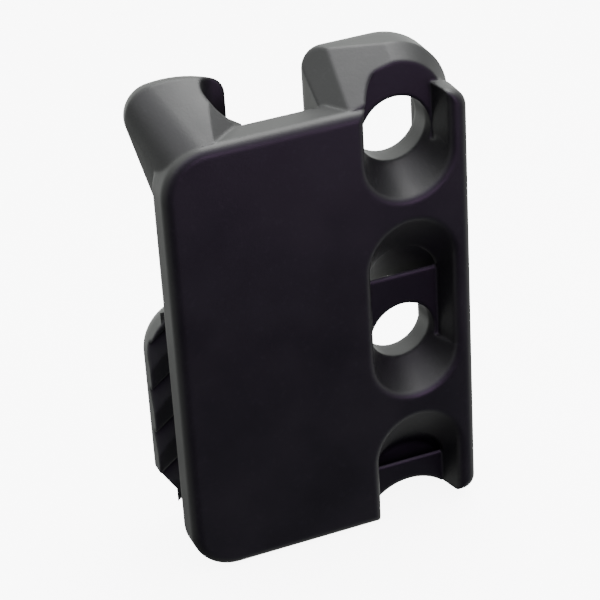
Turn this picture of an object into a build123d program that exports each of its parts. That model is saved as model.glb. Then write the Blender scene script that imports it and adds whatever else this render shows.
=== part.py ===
from build123d import *
import os
from math import cos, radians, sin, sqrt, tan

# Side-entry line cleat with a fairlead horn. Millimetres, +Z up, the line runs along Z.
# X = 0 is the middle of the spine, Y = 0 its mid-plane, Z = 0 the centre of the lower line hole.
# -Y is the front, where the smooth cheek is, and -X is the open side of the jaws.

os.makedirs("parts", exist_ok=True)

# ---------------------------------------------------------------- driving dimensions
# Cheek: the smooth front plate, with the front flange of the spine on its right.
height = 60.6                    # bottom to top edge
lower_drop = 26.0                # lower line hole above the bottom edge
width = 40.4                     # cheek and spine, side to side
cheek_depth = 4.8
corner_radius = 6.0              # left corners
front_round = 1.3                # rounding of the front edges
rear_round = 1.0                 # rounding of the rear edges
strip_top_round = 2.6            # upper right corner
strip_foot_round = 2.0           # lower right corner
strip_foot = 1.2                 # foot of the flange and spine above the cheek's bottom edge

# Spine: the deep part with the holes, along the right side.
spine_half = 8.3                 # half its width
spine_depth = 12.2               # front to back
web = 4.3                        # wall between the front and rear pockets
lower_hole_radius = 4.2
upper_hole_radius = 4.6
hole_pitch = 29.1                # lower line hole to upper line hole
pocket_radius = 5.85
pocket_straight = 14.15          # between the centres of a pocket's two round ends
pocket_drop = 1.7                # lower round end below its line hole
pocket_pitch = 28.6
pocket_draft = 0.9               # a front pocket is this much narrower each side at the web
pocket_round = 1.0               # rounding of the pockets' front edges
arch_lift = 0.8                  # arch of the highest pocket above the middle of the lobe
rear_pocket_straight = 12.45
bowl_depth = -1.0                # Y where the bowls below the line holes end
bar_top = 8.8                    # top of the lashing bar above its line hole
scoop_angle = 55.0               # slope of the lashing hole's roof behind the bar
lower_scoop_run = 1.7            # how far back the roofs go
middle_scoop_run = 5.0
saddle_radius = 7.2              # arch across the foot of the spine
saddle_rise = 3.0                # above the cheek's bottom edge
foot_corner = 1.2                # rounding of the cheek's foot beside the lowest pocket

# Lobe round the upper line hole.
crown_rise = 5.4                 # above the cheek's top edge
crown_start = 1.0                # where the slopes of horn and lobe leave the front face
crown_crest = 9.0                # where they reach the top
crown_round = 3.0                # rounding of horn and lobe at the back
lobe_left = -9.8
lobe_corner = 3.0
lobe_slope_rise = 1.65           # slope round the front of the lobe
lobe_slope_run = 2.3

# Horn: its mouth is a plane shape with an arched top, leaning out past the cheek.
horn_rise = 5.5                  # highest point above the cheek's top edge
horn_crest = -27.6               # X of that highest point
horn_arch = 16.0                 # radius of the arched top
horn_tip = -19.9                 # right-hand end
horn_flare = 1.9                 # how far the mouth leans out past the cheek
horn_low = 24.4                  # underside
horn_waist = -30.2               # left side at the underside
horn_corner = 4.0
tip_corner = 2.6
groove_end = -21.2               # centre of the round end of the line's notch

# Jaws.
groove_depth = 5.0               # space for the line behind the cheek, for 4 to 5 mm line
base_left = -14.4                # floor of the jaws' V
base_rise = 3.3                  # top of that floor above the rear jaw
jaw_left = -32.8
jaw_top = 8.3
jaw_bottom = -20.6
jaw_depth = 4.8
jaw_flange_right = -7.6
jaw_throat = 1.2                 # gap left between the jaws at the floor of the V
jaw_margin = 2.0                 # plain edge of the rear jaw in front of its wedge
jaw_nose = 6.5                   # round upper corner of the rear jaw
jaw_back_round = 3.0
jaw_bevel = 3.4                  # cut off the rear jaw's lower corner, across
jaw_bevel_top = -15.5            # and its upper end
tooth_pitch = 6.5
rib_drop = 1.0                   # shifts the row of ribs down
tooth_depth = 0.8                # where the ribs start, at the open side
tooth_angle = 38.0               # the ribs fall towards the open side
notch_reach = 1.5                # section of the notch between two ribs
notch_under = 0.5
notch_over = 4.4
notch_tilt = 3.7                 # the ribs get deeper towards the floor of the V
strip_margin = 2.5               # front jaw behind the cheek's left edge
strip_top = 8.0
strip_bottom = -20.0
strip_let_in = 1.0               # the front jaw sits this deep in the cheek

# Screws and inserts. The rear jaw has M3 screws, the front jaw M2.5.
screw_heights = (-14.0, -6.4, 1.2)
screw_radius = 1.5
screw_head_radius = 2.8
socket_radius = 1.1
socket_depth = 1.0
insert_radius = 2.3
insert_length = 4.5
small_screw_x = -24.0
small_screw_heights = (-12.6, 0.2)
small_screw_radius = 1.25
small_screw_head_radius = 2.3
small_screw_seat = -1.5          # Y of the face under the small screws' heads
small_head_height = 0.6
small_screw_reach = 2.8          # depth of the small screws in the cheek
small_socket_radius = 0.9
fit_gap = 0.05

# ---------------------------------------------------------------- derived places
front = -spine_depth / 2
back = spine_depth / 2
left = spine_half - width
bottom = -lower_drop
top = height - lower_drop
spine_bottom = bottom + strip_foot
web_front = -web / 2
web_back = web / 2
cheek_back = front + cheek_depth
spine_front = cheek_back - 2 * rear_round
groove_back = cheek_back + groove_depth
groove_middle = (cheek_back + groove_back) / 2
crown_top = top + crown_rise
lobe_centre_z = crown_top - spine_half
horn_top = top + horn_rise
horn_left = left - horn_flare
base_top = jaw_top + base_rise
pocket_low = -pocket_drop
pocket_high = pocket_low + pocket_straight
scoop_centre = pocket_high - (web_front - front) * tan(radians(scoop_angle))
arch_centre_z = lobe_centre_z + arch_lift
# Each pocket: centres of its lower end and upper end at the front, of its upper end at the web,
# and the centre and radius of its line hole.
pocket_ends = (
    (pocket_low - pocket_pitch, pocket_high - pocket_pitch, scoop_centre - pocket_pitch,
     -pocket_pitch, lower_hole_radius),
    (pocket_low, pocket_high, scoop_centre, 0, lower_hole_radius),
    (pocket_low + pocket_pitch, arch_centre_z, arch_centre_z, hole_pitch, upper_hole_radius),
)
scoop_runs = ((-pocket_pitch, lower_scoop_run), (0, middle_scoop_run))
holes = (0, hole_pitch)
jaw_back = groove_back + jaw_depth
wedge_left = jaw_left + jaw_margin
strip_left = left + strip_margin
rib_pitch = tooth_pitch * cos(radians(tooth_angle))
notch_floor = groove_back + tooth_depth
screw_x = (jaw_flange_right + base_left) / 2

# Planes that trim the lobe: a broad slope from the front edge to the crest, and a steeper facet
# beside the line's way in.
slope = Plane((-7.0, front + crown_start, top), z_dir=(-0.185, -0.573, 0.797))
tip_slope = Plane((-24.9, front + crown_start, top), z_dir=(0.463, -0.573, 0.677))
facet = Plane((-9.3, -1.8, top), z_dir=(-0.665, -0.414, 0.622))


def at_y(depth):
    """Upright plane at Y = depth: its x is X, its y is Z, and extrude(amount=-a) goes towards +Y."""
    return Plane.XZ.offset(-depth)


def horn_height(x):
    """Z of the horn's arched top at X = x."""
    return horn_top - horn_arch + sqrt(horn_arch**2 - (x - horn_crest) ** 2)


def stadium(low, high, radius):
    """Upright slot in the active sketch, centred on X = 0; low and high are its round ends' centres."""
    with Locations((0, (low + high) / 2)):
        SlotCenterToCenter(high - low, 2 * radius, rotation=90)


# ---------------------------------------------------------------- lobe and horn
# The lobe round the upper line hole, trimmed by the slope and the facet on its left.
with BuildPart() as lobe:
    with BuildSketch(at_y(web_front)):
        with BuildLine():
            Polyline(
                (0, lobe_centre_z + spine_half),
                (lobe_left, lobe_centre_z + spine_half),
                (lobe_left, 0),
                (spine_half, 0),
                (spine_half, lobe_centre_z),
            )
            RadiusArc((spine_half, lobe_centre_z), (0, lobe_centre_z + spine_half), -spine_half)
        make_face()
        fillet(vertices().group_by(Axis.X)[0].sort_by(Axis.Y)[-1], lobe_corner)
    extrude(amount=-(back - web_front))
    crown_edges = edges().filter_by(lambda edge: edge.center().Z > lobe_centre_z)
    fillet(crown_edges.group_by(Axis.Y)[-1], crown_round)
    crown_edges = edges().filter_by(lambda edge: edge.center().Z > lobe_centre_z)
    chamfer(crown_edges.group_by(Axis.Y)[0], lobe_slope_rise, lobe_slope_run)
    with BuildSketch(at_y(front + crown_start)):
        with Locations((lobe_left / 2, (crown_top + lobe_centre_z) / 2)):
            Rectangle(-lobe_left, crown_top - lobe_centre_z)
    extrude(amount=-(crown_crest - crown_start))
    split(bisect_by=slope, keep=Keep.BOTTOM)
    split(bisect_by=facet, keep=Keep.BOTTOM)

# The horn grows out of the cheek's upper left corner, back, up and outwards.
with BuildPart() as horn:
    with BuildSketch(at_y(front + crown_crest)) as horn_mouth:
        with BuildLine():
            Polyline(
                (horn_left, horn_height(horn_left)),
                (horn_waist, horn_low),
                (horn_tip, horn_low),
                (horn_tip, horn_height(horn_tip)),
            )
            ThreePointArc(
                (horn_tip, horn_height(horn_tip)),
                (horn_crest, horn_top),
                (horn_left, horn_height(horn_left)),
            )
        make_face()
        fillet(vertices().sort_by(Axis.X)[0], horn_corner)
        fillet(vertices().sort_by(Axis.X)[-2:].sort_by(Axis.Y)[-1], tip_corner)
    extrude(amount=-(back - front - crown_crest))
    mouth_edges = faces().sort_by(Axis.Y)[-1].edges().sort_by(Axis.Z)[1:]
    fillet(mouth_edges, crown_round)
    with BuildSketch(at_y(front + crown_start)):
        with BuildLine():
            Polyline(
                (left + front_round, horn_low),
                (left + front_round, top),
                (horn_tip, top),
                (horn_tip, horn_low),
                close=True,
            )
        make_face()
        fillet(vertices().group_by(Axis.X)[0].sort_by(Axis.Y)[-1], corner_radius - front_round)
        fillet(vertices().group_by(Axis.X)[-1].sort_by(Axis.Y)[-1], tip_corner / 4)
    add(horn_mouth.sketch)
    loft(ruled=True)
    split(bisect_by=tip_slope, keep=Keep.BOTTOM)

# ---------------------------------------------------------------- cutters for the spine
# Front pockets. The two lower ones have a top end that slopes down and back; the highest one is
# straight. Where there is a line hole, a bowl opens down and forwards from it.
pockets = []
for low, high, deep_high, hole, hole_radius in pocket_ends:
    with BuildPart() as pocket:
        for depth, end, draft in ((front, high, 0), (web_front, deep_high, pocket_draft)):
            with BuildSketch(at_y(depth)):
                with Locations((0, (low + end + draft) / 2)):
                    Rectangle(2 * (pocket_radius - draft), end + draft - low)
                with Locations((0, end + draft)):
                    Circle(pocket_radius - draft)
        loft(ruled=True)
        for depth, centre, radius in ((front, low, pocket_radius), (bowl_depth, hole, hole_radius)):
            with BuildSketch(at_y(depth)):
                with Locations((0, centre)):
                    Circle(radius)
        loft(ruled=True)
        with BuildSketch(at_y(front)):
            stadium(low, high, pocket_radius + pocket_round + 0.2)
        extrude(amount=1)
        rim = edges().filter_by(lambda edge: abs((edge @ 0.5).Y - front) < 0.01)
        fillet(rim.filter_by(lambda edge: abs((edge @ 0).X) < pocket_radius + 0.1), pocket_round)
        with BuildSketch(at_y(front)):
            with Locations((0, hole)):
                Circle(hole_radius)
        extrude(amount=-spine_depth)
    pockets.append(pocket.part)

# Lashing holes: each drops back from its pocket, behind a bar of the web. The upper one comes out
# in the lower line hole, and the lower one is blind.
with BuildPart() as scoops:
    for hole, run in scoop_runs:
        with BuildSketch(at_y(web_front)):
            with Locations((0, hole + scoop_centre)):
                Circle(pocket_radius)
            with Locations((0, hole + bar_top - pocket_radius)):
                Rectangle(2 * pocket_radius, 2 * pocket_radius, mode=Mode.SUBTRACT)
        extrude(amount=run / cos(radians(scoop_angle)), dir=(0, 1, -tan(radians(scoop_angle))))

# ---------------------------------------------------------------- spine
# It starts inside the front flange and runs up into the lobe, with the same rounding at the back.
with BuildPart() as spine:
    with BuildSketch(Plane.XY.offset(spine_bottom)):
        with Locations(((lobe_left + spine_half) / 2, (spine_front + back) / 2)):
            Rectangle(spine_half - lobe_left, back - spine_front)
        fillet(vertices().group_by(Axis.Y)[-1], crown_round)
    extrude(amount=lobe_centre_z - spine_bottom)
    foot_edges = faces().sort_by(Axis.Z)[0].edges()
    fillet(foot_edges.filter_by(Axis.Y).sort_by(Axis.X)[-1], strip_foot_round)

# ---------------------------------------------------------------- cleat body
with BuildPart() as cleat_body:
    # The cheek and the front flange of the spine are one plate.
    with BuildSketch(at_y(front)):
        with BuildLine():
            Polyline(
                (left, bottom),
                (0, bottom),
                (0, spine_bottom),
                (spine_half, spine_bottom),
                (spine_half, top),
                (left, top),
                close=True,
            )
        make_face()
        fillet(vertices().group_by(Axis.X)[0], corner_radius)
        fillet(vertices().group_by(Axis.X)[-1].sort_by(Axis.Y)[-1], strip_top_round)
        fillet(vertices().group_by(Axis.X)[-1].sort_by(Axis.Y)[0], strip_foot_round)
    extrude(amount=-cheek_depth)
    fillet(faces().sort_by(Axis.Y)[0].edges(), front_round)
    fillet(faces().sort_by(Axis.Y)[-1].edges().sort_by(Axis.X)[0], rear_round)

    # The spine behind it, and the base block that closes the V between the jaws.
    add(spine.part)
    with BuildSketch(at_y(cheek_back)):
        with Locations(((base_left + lobe_left) / 2, (base_top + spine_bottom) / 2)):
            Rectangle(lobe_left - base_left, base_top - spine_bottom)
    extrude(amount=-(groove_back - cheek_back))
    add(lobe.part)
    add(horn.part)

    # Front pockets, line holes and lashing holes.
    add(pockets, mode=Mode.SUBTRACT)
    add(scoops.part, mode=Mode.SUBTRACT)

    # Rear pockets, with their round upper ends behind the line holes.
    with BuildSketch(at_y(web_back)):
        for hole in holes:
            stadium(hole - rear_pocket_straight, hole, pocket_radius)
    extrude(amount=-(back - web_back), mode=Mode.SUBTRACT)

    # The shallow arch across the foot of the spine.
    with BuildSketch(at_y(front)):
        with Locations((0, bottom + saddle_rise - saddle_radius)):
            Circle(saddle_radius)
    extrude(amount=-spine_depth, mode=Mode.SUBTRACT)

    # The lowest front pocket runs out through the foot and leaves the cheek a rounded corner.
    with BuildSketch(at_y(front)):
        with Locations((-pocket_radius / 2, bottom)):
            Rectangle(pocket_radius, 2 * saddle_rise)
        with Locations((0, bottom - saddle_rise)):
            Rectangle(4 * pocket_radius, 2 * saddle_rise)
        fillet(vertices().group_by(Axis.Y)[-2].sort_by(Axis.X)[1], foot_corner)
    extrude(amount=-(web_front - front), mode=Mode.SUBTRACT)

    # The line's way through the horn: a round-ended notch, upright.
    with BuildSketch(Plane.XY.offset(horn_low)):
        with Locations((groove_end, groove_middle)):
            Circle(groove_depth / 2)
        with Locations(((groove_end + horn_tip) / 2 + 1, groove_middle)):
            Rectangle(horn_tip - groove_end + 2, groove_depth)
    extrude(amount=crown_top - horn_low, mode=Mode.SUBTRACT)

    # Seat for the rear jaw's flange, and bores for the threaded inserts.
    with BuildSketch(at_y(groove_back)):
        with Locations(((jaw_flange_right + lobe_left) / 2, (jaw_top + jaw_bottom) / 2)):
            Rectangle(jaw_flange_right - lobe_left + fit_gap, jaw_top - jaw_bottom + 2 * fit_gap)
    extrude(amount=-(back - groove_back), mode=Mode.SUBTRACT)
    with BuildSketch(at_y(groove_back)):
        with Locations([(screw_x, z) for z in screw_heights]):
            Circle(insert_radius + fit_gap)
    extrude(amount=insert_length, mode=Mode.SUBTRACT)

    # Recess for the front jaw in the cheek's inner face, with screw holes.
    with BuildSketch(at_y(cheek_back)):
        with Locations(((strip_left + base_left) / 2, (strip_top + strip_bottom) / 2)):
            Rectangle(base_left - strip_left + 2 * fit_gap, strip_top - strip_bottom + 2 * fit_gap)
    extrude(amount=strip_let_in, mode=Mode.SUBTRACT)
    with BuildSketch(at_y(cheek_back - strip_let_in)):
        with Locations([(small_screw_x, z) for z in small_screw_heights]):
            Circle(small_screw_radius + fit_gap)
    extrude(amount=small_screw_reach, mode=Mode.SUBTRACT)

# ---------------------------------------------------------------- jaws
# Notches that leave the sawtooth ribs: one tooth section, swept along the ribs' slope.
rib_plane = Plane(
    ((strip_left + base_left) / 2, 0, -rib_drop),
    x_dir=(-sin(radians(tooth_angle)), 0, cos(radians(tooth_angle))),
    z_dir=(cos(radians(tooth_angle)), 0, sin(radians(tooth_angle))),
)

with BuildPart() as notches:
    for count in range(-4, 7):
        with BuildSketch(rib_plane):
            with Locations((count * rib_pitch, -notch_floor)):
                Polygon((0, 0), (notch_under, notch_reach), (-notch_over, notch_reach), align=None)
        extrude(amount=width, both=True)
rear_notches = notches.part.rotate(Axis((wedge_left, groove_back, 0), (0, 0, 1)), -notch_tilt)
front_notches = mirror(rear_notches, about=at_y(groove_middle))

with BuildPart() as rear_jaw:
    # The plate, with its flange behind the base block and a rounded nose at the open side.
    with BuildSketch(at_y(groove_back)):
        with BuildLine():
            Polyline(
                (jaw_flange_right, jaw_top),
                (jaw_left, jaw_top),
                (jaw_left, jaw_bevel_top),
                (jaw_left + jaw_bevel, jaw_bottom),
                (jaw_flange_right, jaw_bottom),
                close=True,
            )
        make_face()
        fillet(vertices().group_by(Axis.Y)[-1].sort_by(Axis.X)[0], jaw_nose)
    extrude(amount=-jaw_depth)
    rear_edges = faces().sort_by(Axis.Y)[-1].edges()
    fillet(rear_edges.sort_by(Axis.X)[:-1], jaw_back_round)
    # The wedge on its front, thickest at the floor of the V, with the ribs cut in it.
    with BuildSketch(Plane.XY.offset(jaw_bottom)):
        with BuildLine():
            Polyline(
                (wedge_left, groove_back),
                (base_left - fit_gap, groove_back),
                (base_left - fit_gap, groove_middle + jaw_throat / 2),
                close=True,
            )
        make_face()
    extrude(amount=jaw_top - jaw_bottom)
    add(rear_notches, mode=Mode.SUBTRACT)
    # Countersunk screw holes.
    with Locations([at_y(jaw_back) * Location((screw_x, z, 0), (180, 0, 0)) for z in screw_heights]):
        CounterSinkHole(screw_radius + fit_gap, screw_head_radius + fit_gap, counter_sink_angle=90)

with BuildPart() as front_jaw:
    # A strip let into the cheek, with a wedge and ribs that mirror the rear jaw's.
    with BuildSketch(Plane.XY.offset(strip_bottom)):
        with BuildLine():
            Polyline(
                (strip_left, cheek_back - strip_let_in),
                (strip_left, cheek_back),
                (base_left - fit_gap, groove_middle - jaw_throat / 2),
                (base_left - fit_gap, cheek_back - strip_let_in),
                close=True,
            )
        make_face()
    extrude(amount=strip_top - strip_bottom)
    add(front_notches, mode=Mode.SUBTRACT)
    # Screw holes, with a counterbore down through the wedge for each head.
    strip_face = at_y(groove_middle - jaw_throat / 2)
    with Locations([strip_face * Location((small_screw_x, z, 0), (180, 0, 0)) for z in small_screw_heights]):
        CounterBoreHole(
            small_screw_radius + fit_gap,
            small_screw_head_radius + fit_gap,
            groove_middle - jaw_throat / 2 - small_screw_seat,
        )

# ---------------------------------------------------------------- screws and inserts
with BuildPart() as rear_jaw_screws:
    heads = at_y(jaw_back)
    with Locations([heads * Pos(screw_x, z, 0) for z in screw_heights]):
        Cylinder(screw_radius, jaw_depth + insert_length, align=(Align.CENTER, Align.CENTER, Align.MIN))
        Cone(
            screw_head_radius,
            screw_radius,
            screw_head_radius - screw_radius,
            align=(Align.CENTER, Align.CENTER, Align.MIN),
        )
    with BuildSketch(heads):
        with Locations([(screw_x, z) for z in screw_heights]):
            RegularPolygon(socket_radius, 6)
    extrude(amount=socket_depth, mode=Mode.SUBTRACT)

with BuildPart() as front_jaw_screws:
    seat = at_y(small_screw_seat)
    with BuildSketch(seat):
        with Locations([(small_screw_x, z) for z in small_screw_heights]):
            Circle(small_screw_head_radius)
    extrude(amount=-small_head_height)
    with BuildSketch(seat):
        with Locations([(small_screw_x, z) for z in small_screw_heights]):
            Circle(small_screw_radius)
    extrude(amount=small_screw_seat - cheek_back + strip_let_in + small_screw_reach)
    with BuildSketch(at_y(small_screw_seat + small_head_height)):
        with Locations([(small_screw_x, z) for z in small_screw_heights]):
            RegularPolygon(small_socket_radius, 6)
    extrude(amount=small_head_height, mode=Mode.SUBTRACT)

with BuildPart() as threaded_inserts:
    with BuildSketch(at_y(groove_back)):
        with Locations([(screw_x, z) for z in screw_heights]):
            Circle(insert_radius)
            Circle(screw_radius + fit_gap, mode=Mode.SUBTRACT)
    extrude(amount=insert_length)

# ---------------------------------------------------------------- export
cleat_body.part.label = "cleat_body"
rear_jaw.part.label = "rear_jaw"
front_jaw.part.label = "front_jaw"
rear_jaw_screws.part.label = "rear_jaw_screws"
front_jaw_screws.part.label = "front_jaw_screws"
threaded_inserts.part.label = "threaded_inserts"
export_step(cleat_body.part, "parts/cleat_body.step")
export_step(rear_jaw.part, "parts/rear_jaw.step")
export_step(front_jaw.part, "parts/front_jaw.step")
export_step(rear_jaw_screws.part, "parts/rear_jaw_screws.step")
export_step(front_jaw_screws.part, "parts/front_jaw_screws.step")
export_step(threaded_inserts.part, "parts/threaded_inserts.step")
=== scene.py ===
from math import cos, radians, sin

import bpy
from mathutils import Matrix, Vector


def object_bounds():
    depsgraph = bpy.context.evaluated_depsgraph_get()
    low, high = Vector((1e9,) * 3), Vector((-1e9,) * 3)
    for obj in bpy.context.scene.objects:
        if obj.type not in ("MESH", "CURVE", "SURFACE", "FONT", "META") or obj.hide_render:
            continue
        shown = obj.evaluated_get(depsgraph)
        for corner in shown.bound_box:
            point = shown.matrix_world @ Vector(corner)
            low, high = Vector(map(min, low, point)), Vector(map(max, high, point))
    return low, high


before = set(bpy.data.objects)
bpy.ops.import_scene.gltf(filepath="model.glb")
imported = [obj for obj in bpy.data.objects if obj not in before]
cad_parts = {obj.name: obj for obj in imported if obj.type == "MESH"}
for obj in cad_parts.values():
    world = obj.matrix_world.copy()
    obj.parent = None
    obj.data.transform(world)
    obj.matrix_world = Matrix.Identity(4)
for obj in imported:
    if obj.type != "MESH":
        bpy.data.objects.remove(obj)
cad_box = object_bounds()

# Camera, materials, floor and light for the line cleat. Lengths are in metres, angles in degrees.

# ---------------------------------------------------------------- camera
# Placed round the lower line hole, which is the frame's origin.
camera_place = Vector((-0.1106, -0.2529, 0.1643))
camera_azimuth = -21.056
camera_elevation = 30.088
camera_roll = 3.593
camera_lens = 147.58             # millimetres
camera_sensor = 36               # millimetres
camera_near_clip = 0.01

forward = Vector((
    -sin(radians(camera_azimuth)) * cos(radians(camera_elevation)),
    cos(radians(camera_azimuth)) * cos(radians(camera_elevation)),
    -sin(radians(camera_elevation)),
))
level_right = forward.cross(Vector((0, 0, 1))).normalized()
level_up = level_right.cross(forward)
roll = Matrix.Rotation(radians(camera_roll), 3, forward)
right = roll @ level_right
up = roll @ level_up
camera_data = bpy.data.cameras.new("camera")
camera_data.lens = camera_lens
camera_data.sensor_width = camera_sensor
camera_data.clip_start = camera_near_clip
camera = bpy.data.objects.new("camera", camera_data)
camera.matrix_world = Matrix((
    (right.x, up.x, -forward.x, camera_place.x),
    (right.y, up.y, -forward.y, camera_place.y),
    (right.z, up.z, -forward.z, camera_place.z),
    (0, 0, 0, 1),
))
bpy.context.collection.objects.link(camera)
bpy.context.scene.camera = camera

# ---------------------------------------------------------------- node helpers
# Socket numbers of the Mix node in colour mode.
mix_factor = 0
mix_first = 6
mix_second = 7
mix_result = 2


def put(tree, socket, value):
    """Set an input socket to a value, or link it to another node's output."""
    if isinstance(value, bpy.types.NodeSocket):
        tree.links.new(value, socket)
    else:
        socket.default_value = value


def add_node(tree, kind, inputs, settings):
    """A new shader node with its settings and inputs; an input is a value or another node's output."""
    new = tree.nodes.new("ShaderNode" + kind)
    for key, value in settings.items():
        setattr(new, key, value)
    for key, value in inputs.items():
        put(tree, new.inputs[key], value)
    return new


class Nodes:
    """A material's node tree, with short calls for the nodes it uses."""

    def __init__(self, name):
        self.material = bpy.data.materials.new(name)
        self.material.use_nodes = True
        self.tree = self.material.node_tree
        self.tree.nodes.clear()
        self.shader = self.tree.nodes.new("ShaderNodeBsdfPrincipled")
        output = self.tree.nodes.new("ShaderNodeOutputMaterial")
        self.tree.links.new(self.shader.outputs["BSDF"], output.inputs["Surface"])
        coordinates = self.tree.nodes.new("ShaderNodeTexCoord")
        self.place = coordinates.outputs["Object"]

    def node(self, kind, inputs, **settings):
        return add_node(self.tree, kind, inputs, settings)

    def noise(self, scale, detail=2.0):
        """Noise from 0 to 1; scale is in cells per metre."""
        inputs = {"Vector": self.place, "Scale": scale, "Detail": detail, "Roughness": 0.5}
        return self.node("TexNoise", inputs).outputs["Fac"]

    def blend(self, factor, low, high, start=0.0, end=1.0):
        """low where factor is at start, high where it is at end."""
        inputs = {"Value": factor, "From Min": start, "From Max": end, "To Min": low, "To Max": high}
        return self.node("MapRange", inputs).outputs["Result"]

    def mix(self, factor, first, second):
        inputs = {mix_factor: factor, mix_first: first, mix_second: second}
        return self.node("Mix", inputs, data_type="RGBA").outputs[mix_result]

    def rounded(self, radius, samples):
        """The surface's direction, averaged over everything within radius."""
        return self.node("Bevel", {"Radius": radius}, samples=samples).outputs["Normal"]

    def edges(self, radius):
        """1 on edges and corners within radius, 0 on flat surfaces."""
        turned = self.rounded(radius, samples=6)
        straight = self.node("NewGeometry", {}).outputs["Normal"]
        inputs = {0: turned, 1: straight}
        likeness = self.node("VectorMath", inputs, operation="DOT_PRODUCT").outputs["Value"]
        return self.blend(likeness, 1.0, 0.0, start=0.86, end=0.995)

    def bump(self, height, strength, distance, normal=None):
        inputs = {"Height": height, "Strength": strength, "Distance": distance}
        if normal is not None:
            inputs["Normal"] = normal
        return self.node("Bump", inputs).outputs["Normal"]

    def feed(self, name, value):
        put(self.tree, self.shader.inputs[name], value)


# ---------------------------------------------------------------- materials
# Noise scales are in cells per metre.
soft_edge = 0.0007               # how far shading is smoothed round moulded edges
worn_edge = 0.0004               # width of the polished edges
worn_share = 0.2                 # how much of the worn colour they take
worn_colour = (0.07, 0.07, 0.075, 1)
dust_share = 0.12
dust_colour = (0.03, 0.03, 0.032, 1)
dust_scale = 1400
flow_scale = 70                  # patches of the two shades, left by the flow of the melt
sheen_scale = 110                # patches of different gloss
nylon_gloss = (0.40, 0.52)       # lowest and highest roughness
grain_scale = 2600
grain_height = 0.00004
wave_scale = 260                 # slight unevenness of the mould
wave_height = 0.0001
wave_strength = 0.12

stain_scale = 500
stain_share = 0.7                # how bright a stain is beside clean metal
scratch_scale = 2500             # patches of different gloss
scratch_rise = 0.15              # how much rougher the dullest patches are
fine_scratch_scale = 5000
fine_scratch_height = 0.00003
fine_scratch_strength = 0.2


def moulded_nylon(name, dark, pale, grain_strength):
    """Near-black glass-filled nylon: fine spark grain, soft flow marks and slightly polished edges."""
    nodes = Nodes(name)
    flow = nodes.blend(nodes.noise(flow_scale, detail=3), 0.0, 1.0, start=0.35, end=0.65)
    dust = nodes.blend(nodes.noise(dust_scale, detail=1), 0.0, dust_share, start=0.62, end=0.75)
    worn = nodes.blend(nodes.edges(worn_edge), 0.0, worn_share)
    colour = nodes.mix(flow, dark, pale)
    colour = nodes.mix(dust, colour, dust_colour)
    colour = nodes.mix(worn, colour, worn_colour)
    nodes.feed("Base Color", colour)
    sheen = nodes.noise(sheen_scale, detail=4)
    nodes.feed("Roughness", nodes.blend(sheen, *nylon_gloss, start=0.3, end=0.7))
    nodes.feed("Specular IOR Level", 0.5)
    rounded = nodes.rounded(soft_edge, samples=8)
    fine = nodes.bump(nodes.noise(grain_scale), grain_strength, grain_height, rounded)
    wavy = nodes.bump(nodes.noise(wave_scale), wave_strength, wave_height, fine)
    nodes.feed("Normal", wavy)
    return nodes.material


def brushed_metal(name, colour, roughness):
    """Turned metal with fine scratches and slight staining."""
    nodes = Nodes(name)
    stain = nodes.blend(nodes.noise(stain_scale, detail=3), 0.0, 1.0, start=0.4, end=0.7)
    stained = tuple(stain_share * value for value in colour[:3]) + (1,)
    nodes.feed("Base Color", nodes.mix(stain, colour, stained))
    nodes.feed("Metallic", 1.0)
    scratches = nodes.noise(scratch_scale, detail=3)
    nodes.feed("Roughness", nodes.blend(scratches, roughness, roughness + scratch_rise))
    fine_scratches = nodes.noise(fine_scratch_scale)
    nodes.feed("Normal", nodes.bump(fine_scratches, fine_scratch_strength, fine_scratch_height))
    return nodes.material


body_nylon = moulded_nylon(
    "body_nylon",
    dark=(0.005, 0.0052, 0.0056, 1),
    pale=(0.0085, 0.0088, 0.009, 1),
    grain_strength=0.25,
)
jaw_nylon = moulded_nylon(
    "jaw_nylon",
    dark=(0.018, 0.0195, 0.019, 1),
    pale=(0.026, 0.028, 0.027, 1),
    grain_strength=0.35,
)
stainless = brushed_metal("stainless", (0.60, 0.60, 0.59, 1), roughness=0.28)
brass = brushed_metal("brass", (0.72, 0.53, 0.25, 1), roughness=0.25)

finishes = {
    "cleat_body": body_nylon,
    "rear_jaw": jaw_nylon,
    "front_jaw": jaw_nylon,
    "rear_jaw_screws": stainless,
    "front_jaw_screws": stainless,
    "threaded_inserts": brass,
}
for node_name, finish in finishes.items():
    node_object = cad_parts[node_name]
    node_object.data.materials.clear()
    node_object.data.materials.append(finish)

# ---------------------------------------------------------------- floor
# White paper that glows, as on a backlit table. It is left out of reflections and bounced light,
# so that it doesn't light the cheek from below.
floor_size = 3.0
floor_colour = (0.82, 0.82, 0.82, 1)
floor_roughness = 0.9
floor_glow = 7.0
floor_height = cad_box[0][2]
floor_mesh = bpy.data.meshes.new("floor")
half = floor_size / 2
corners = [(x * half, y * half, floor_height) for x, y in ((-1, -1), (1, -1), (1, 1), (-1, 1))]
floor_mesh.from_pydata(corners, [], [(0, 1, 2, 3)])
floor = bpy.data.objects.new("floor", floor_mesh)
bpy.context.collection.objects.link(floor)
floor_nodes = Nodes("floor_paper")
floor_nodes.feed("Base Color", floor_colour)
floor_nodes.feed("Roughness", floor_roughness)
floor_nodes.feed("Emission Color", (1, 1, 1, 1))
floor_nodes.feed("Emission Strength", floor_glow)
floor_mesh.materials.append(floor_nodes.material)
floor.visible_diffuse = False
floor.visible_glossy = False

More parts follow.
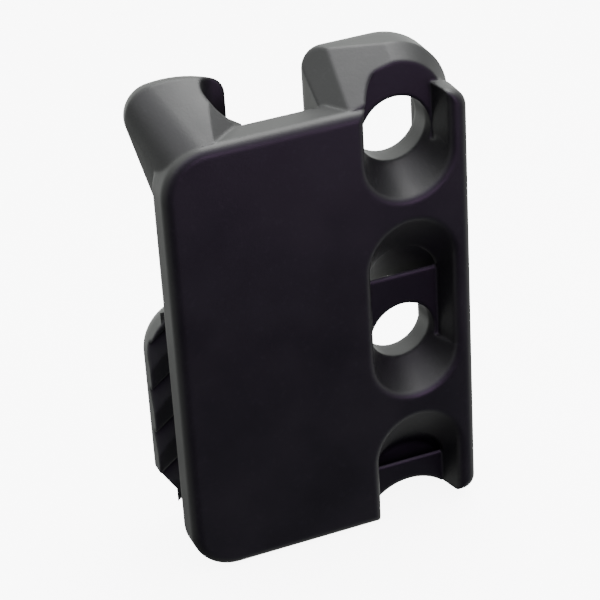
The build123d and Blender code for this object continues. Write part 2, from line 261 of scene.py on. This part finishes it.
# ---------------------------------------------------------------- studio
# White walls, brightest behind the object and a little dimmer on the left. The front, towards -Y,
# is dark: a faint purple wall that gets bluer and darker downwards. Low down the other walls fade
# to a table, dark on the left and pale on the right. The ceiling is bright.
front_glow = 0.2
studio_glow = 1.0
back_glow = 0.9                  # added to studio_glow behind the object
ceiling_glow = 1.9
left_share = 0.85                # of the glow, at the far left
table_left = 0.12                # share of the walls' glow that the table has, left and right
table_right = 0.9
wall_colour = (0.97, 1.0, 0.965, 1)
front_high_colour = (0.80, 0.59, 1.0, 1)
front_low_colour = (0.45, 0.58, 1.0, 1)
world = bpy.data.worlds.new("world")
bpy.context.scene.world = world
world.use_nodes = True
world_tree = world.node_tree
background = world_tree.nodes["Background"]


def world_node(kind, inputs, **settings):
    return add_node(world_tree, kind, inputs, settings)


def fade(part, start, end, low, high):
    """low where the direction's part is under start, high where it is over end."""
    inputs = {"Value": part, "From Min": start, "From Max": end, "To Min": low, "To Max": high}
    return world_node("MapRange", inputs, interpolation_type="SMOOTHSTEP").outputs["Result"]


def combine(first, second, operation):
    return world_node("Math", {0: first, 1: second}, operation=operation).outputs["Value"]


def tint(factor, first, second):
    inputs = {mix_factor: factor, mix_first: first, mix_second: second}
    return world_node("Mix", inputs, data_type="RGBA").outputs[mix_result]


direction = world_node("TexCoord", {}).outputs["Generated"]
parts = world_node("SeparateXYZ", {"Vector": direction}).outputs
front_wall = fade(parts["Z"], start=-0.48, end=-0.12, low=0.0, high=front_glow)
back_walls = fade(parts["Y"], start=0.3, end=0.8, low=studio_glow, high=studio_glow + back_glow)
above_table = fade(parts["Z"], start=-0.65, end=-0.25, low=0.0, high=1.0)
table_share = fade(parts["X"], start=-0.3, end=0.6, low=table_left, high=table_right)
left_dimming = fade(parts["X"], start=-0.7, end=0.1, low=left_share, high=1.0)
lit_walls = combine(back_walls, combine(above_table, table_share, "MAXIMUM"), "MULTIPLY")
other_walls = combine(lit_walls, left_dimming, "MULTIPLY")
at_front = fade(parts["Y"], start=-0.75, end=-0.2, low=1.0, high=0.0)
walls = combine(
    combine(front_wall, at_front, "MULTIPLY"),
    combine(other_walls, combine(1.0, at_front, "SUBTRACT"), "MULTIPLY"),
    "ADD",
)
ceiling = fade(parts["Z"], start=0.25, end=0.9, low=0.0, high=ceiling_glow)
put(world_tree, background.inputs["Strength"], combine(walls, ceiling, "ADD"))
front_height = fade(parts["Z"], start=-0.6, end=-0.4, low=0.0, high=1.0)
front_colour = tint(front_height, front_low_colour, front_high_colour)
past_front = fade(parts["Y"], start=-0.7, end=-0.3, low=0.0, high=1.0)
put(world_tree, background.inputs["Color"], tint(past_front, front_colour, wall_colour))


# ---------------------------------------------------------------- lights
def soft_light(name, place, target, size, power, colour=(1, 1, 1)):
    """A square area light at place, facing target."""
    data = bpy.data.lights.new(name, "AREA")
    data.color = colour
    data.shape = "SQUARE"
    data.size = size
    data.energy = power
    light = bpy.data.objects.new(name, data)
    light.location = place
    toward = Vector(target) - Vector(place)
    light.rotation_euler = toward.to_track_quat("-Z", "Y").to_euler()
    bpy.context.collection.objects.link(light)


soft_light(
    "top_light",
    place=(0.05, 0.03, 0.19),
    target=(-0.012, 0, 0.008),
    size=0.12,
    power=0.42,
)
soft_light(
    "front_sheen",
    place=(0.03, -0.13, 0.03),
    target=(-0.014, 0, 0.03),
    size=0.06,
    power=0.042,
    colour=(0.88, 0.52, 1.0),
)
